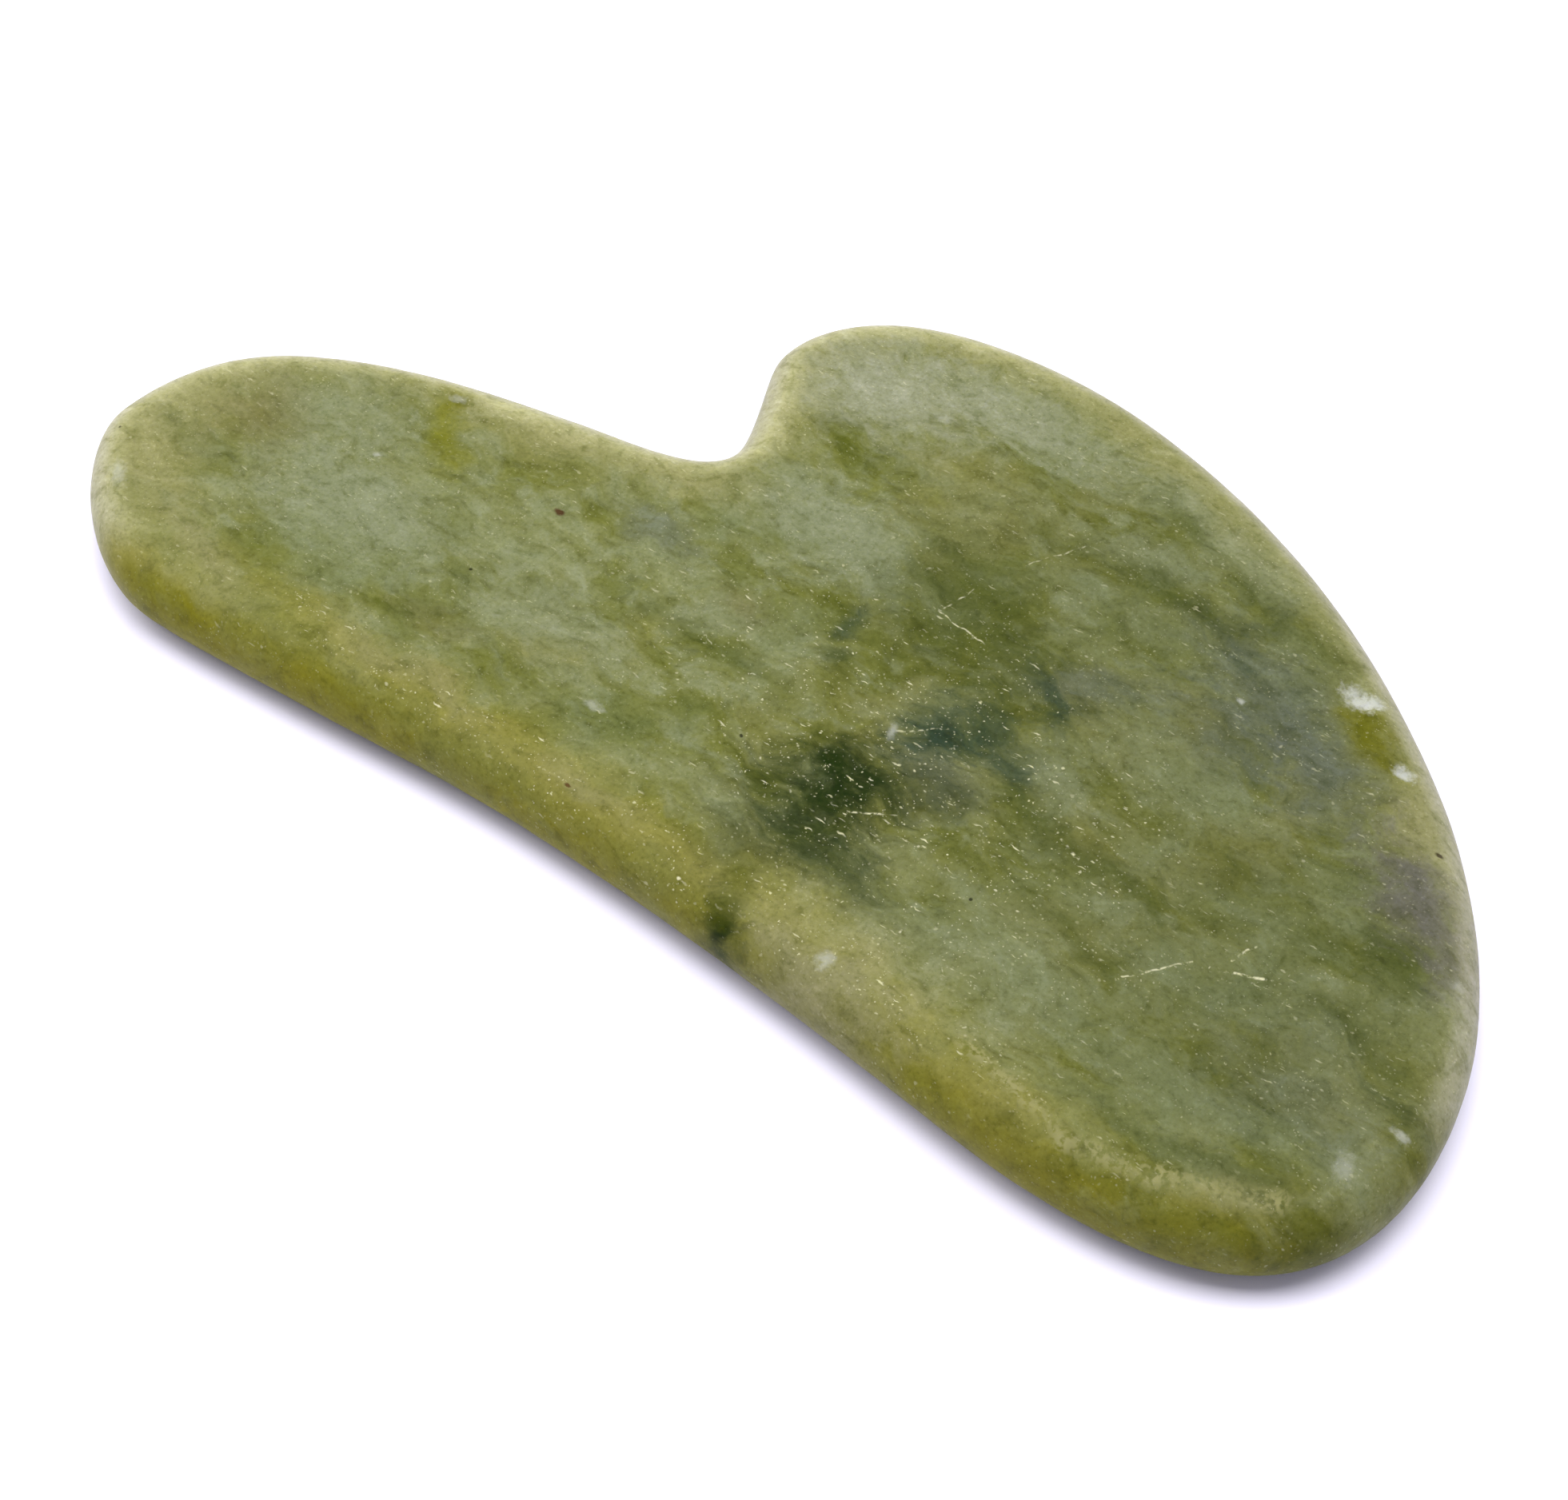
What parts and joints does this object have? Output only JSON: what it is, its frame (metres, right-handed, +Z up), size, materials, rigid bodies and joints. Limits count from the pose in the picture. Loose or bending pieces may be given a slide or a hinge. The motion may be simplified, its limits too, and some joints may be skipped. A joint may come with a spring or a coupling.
{
  "type": "gua sha scraper",
  "caption": "Flat hand-held massage board of polished mottled green stone, wing-shaped with a deep side notch, a hollow scraping edge and a fully rounded rim.",
  "frame": {"origin": "middle of the bounding box, on the underside that the board rests on", "axes": "+X along the board's length towards the broad head, +Y from the long hollow scraping edge towards the humped back and the notch, +Z up through the thickness"},
  "size_m": [0.104, 0.0558, 0.006],
  "materials": {
    "green_jade": "polished mottled green jade, slightly translucent, with grey-green clouds, olive veins and dark patches"
  },
  "bodies": {
    "root": {"stone_board": "green_jade"}
  },
  "joints": []
}
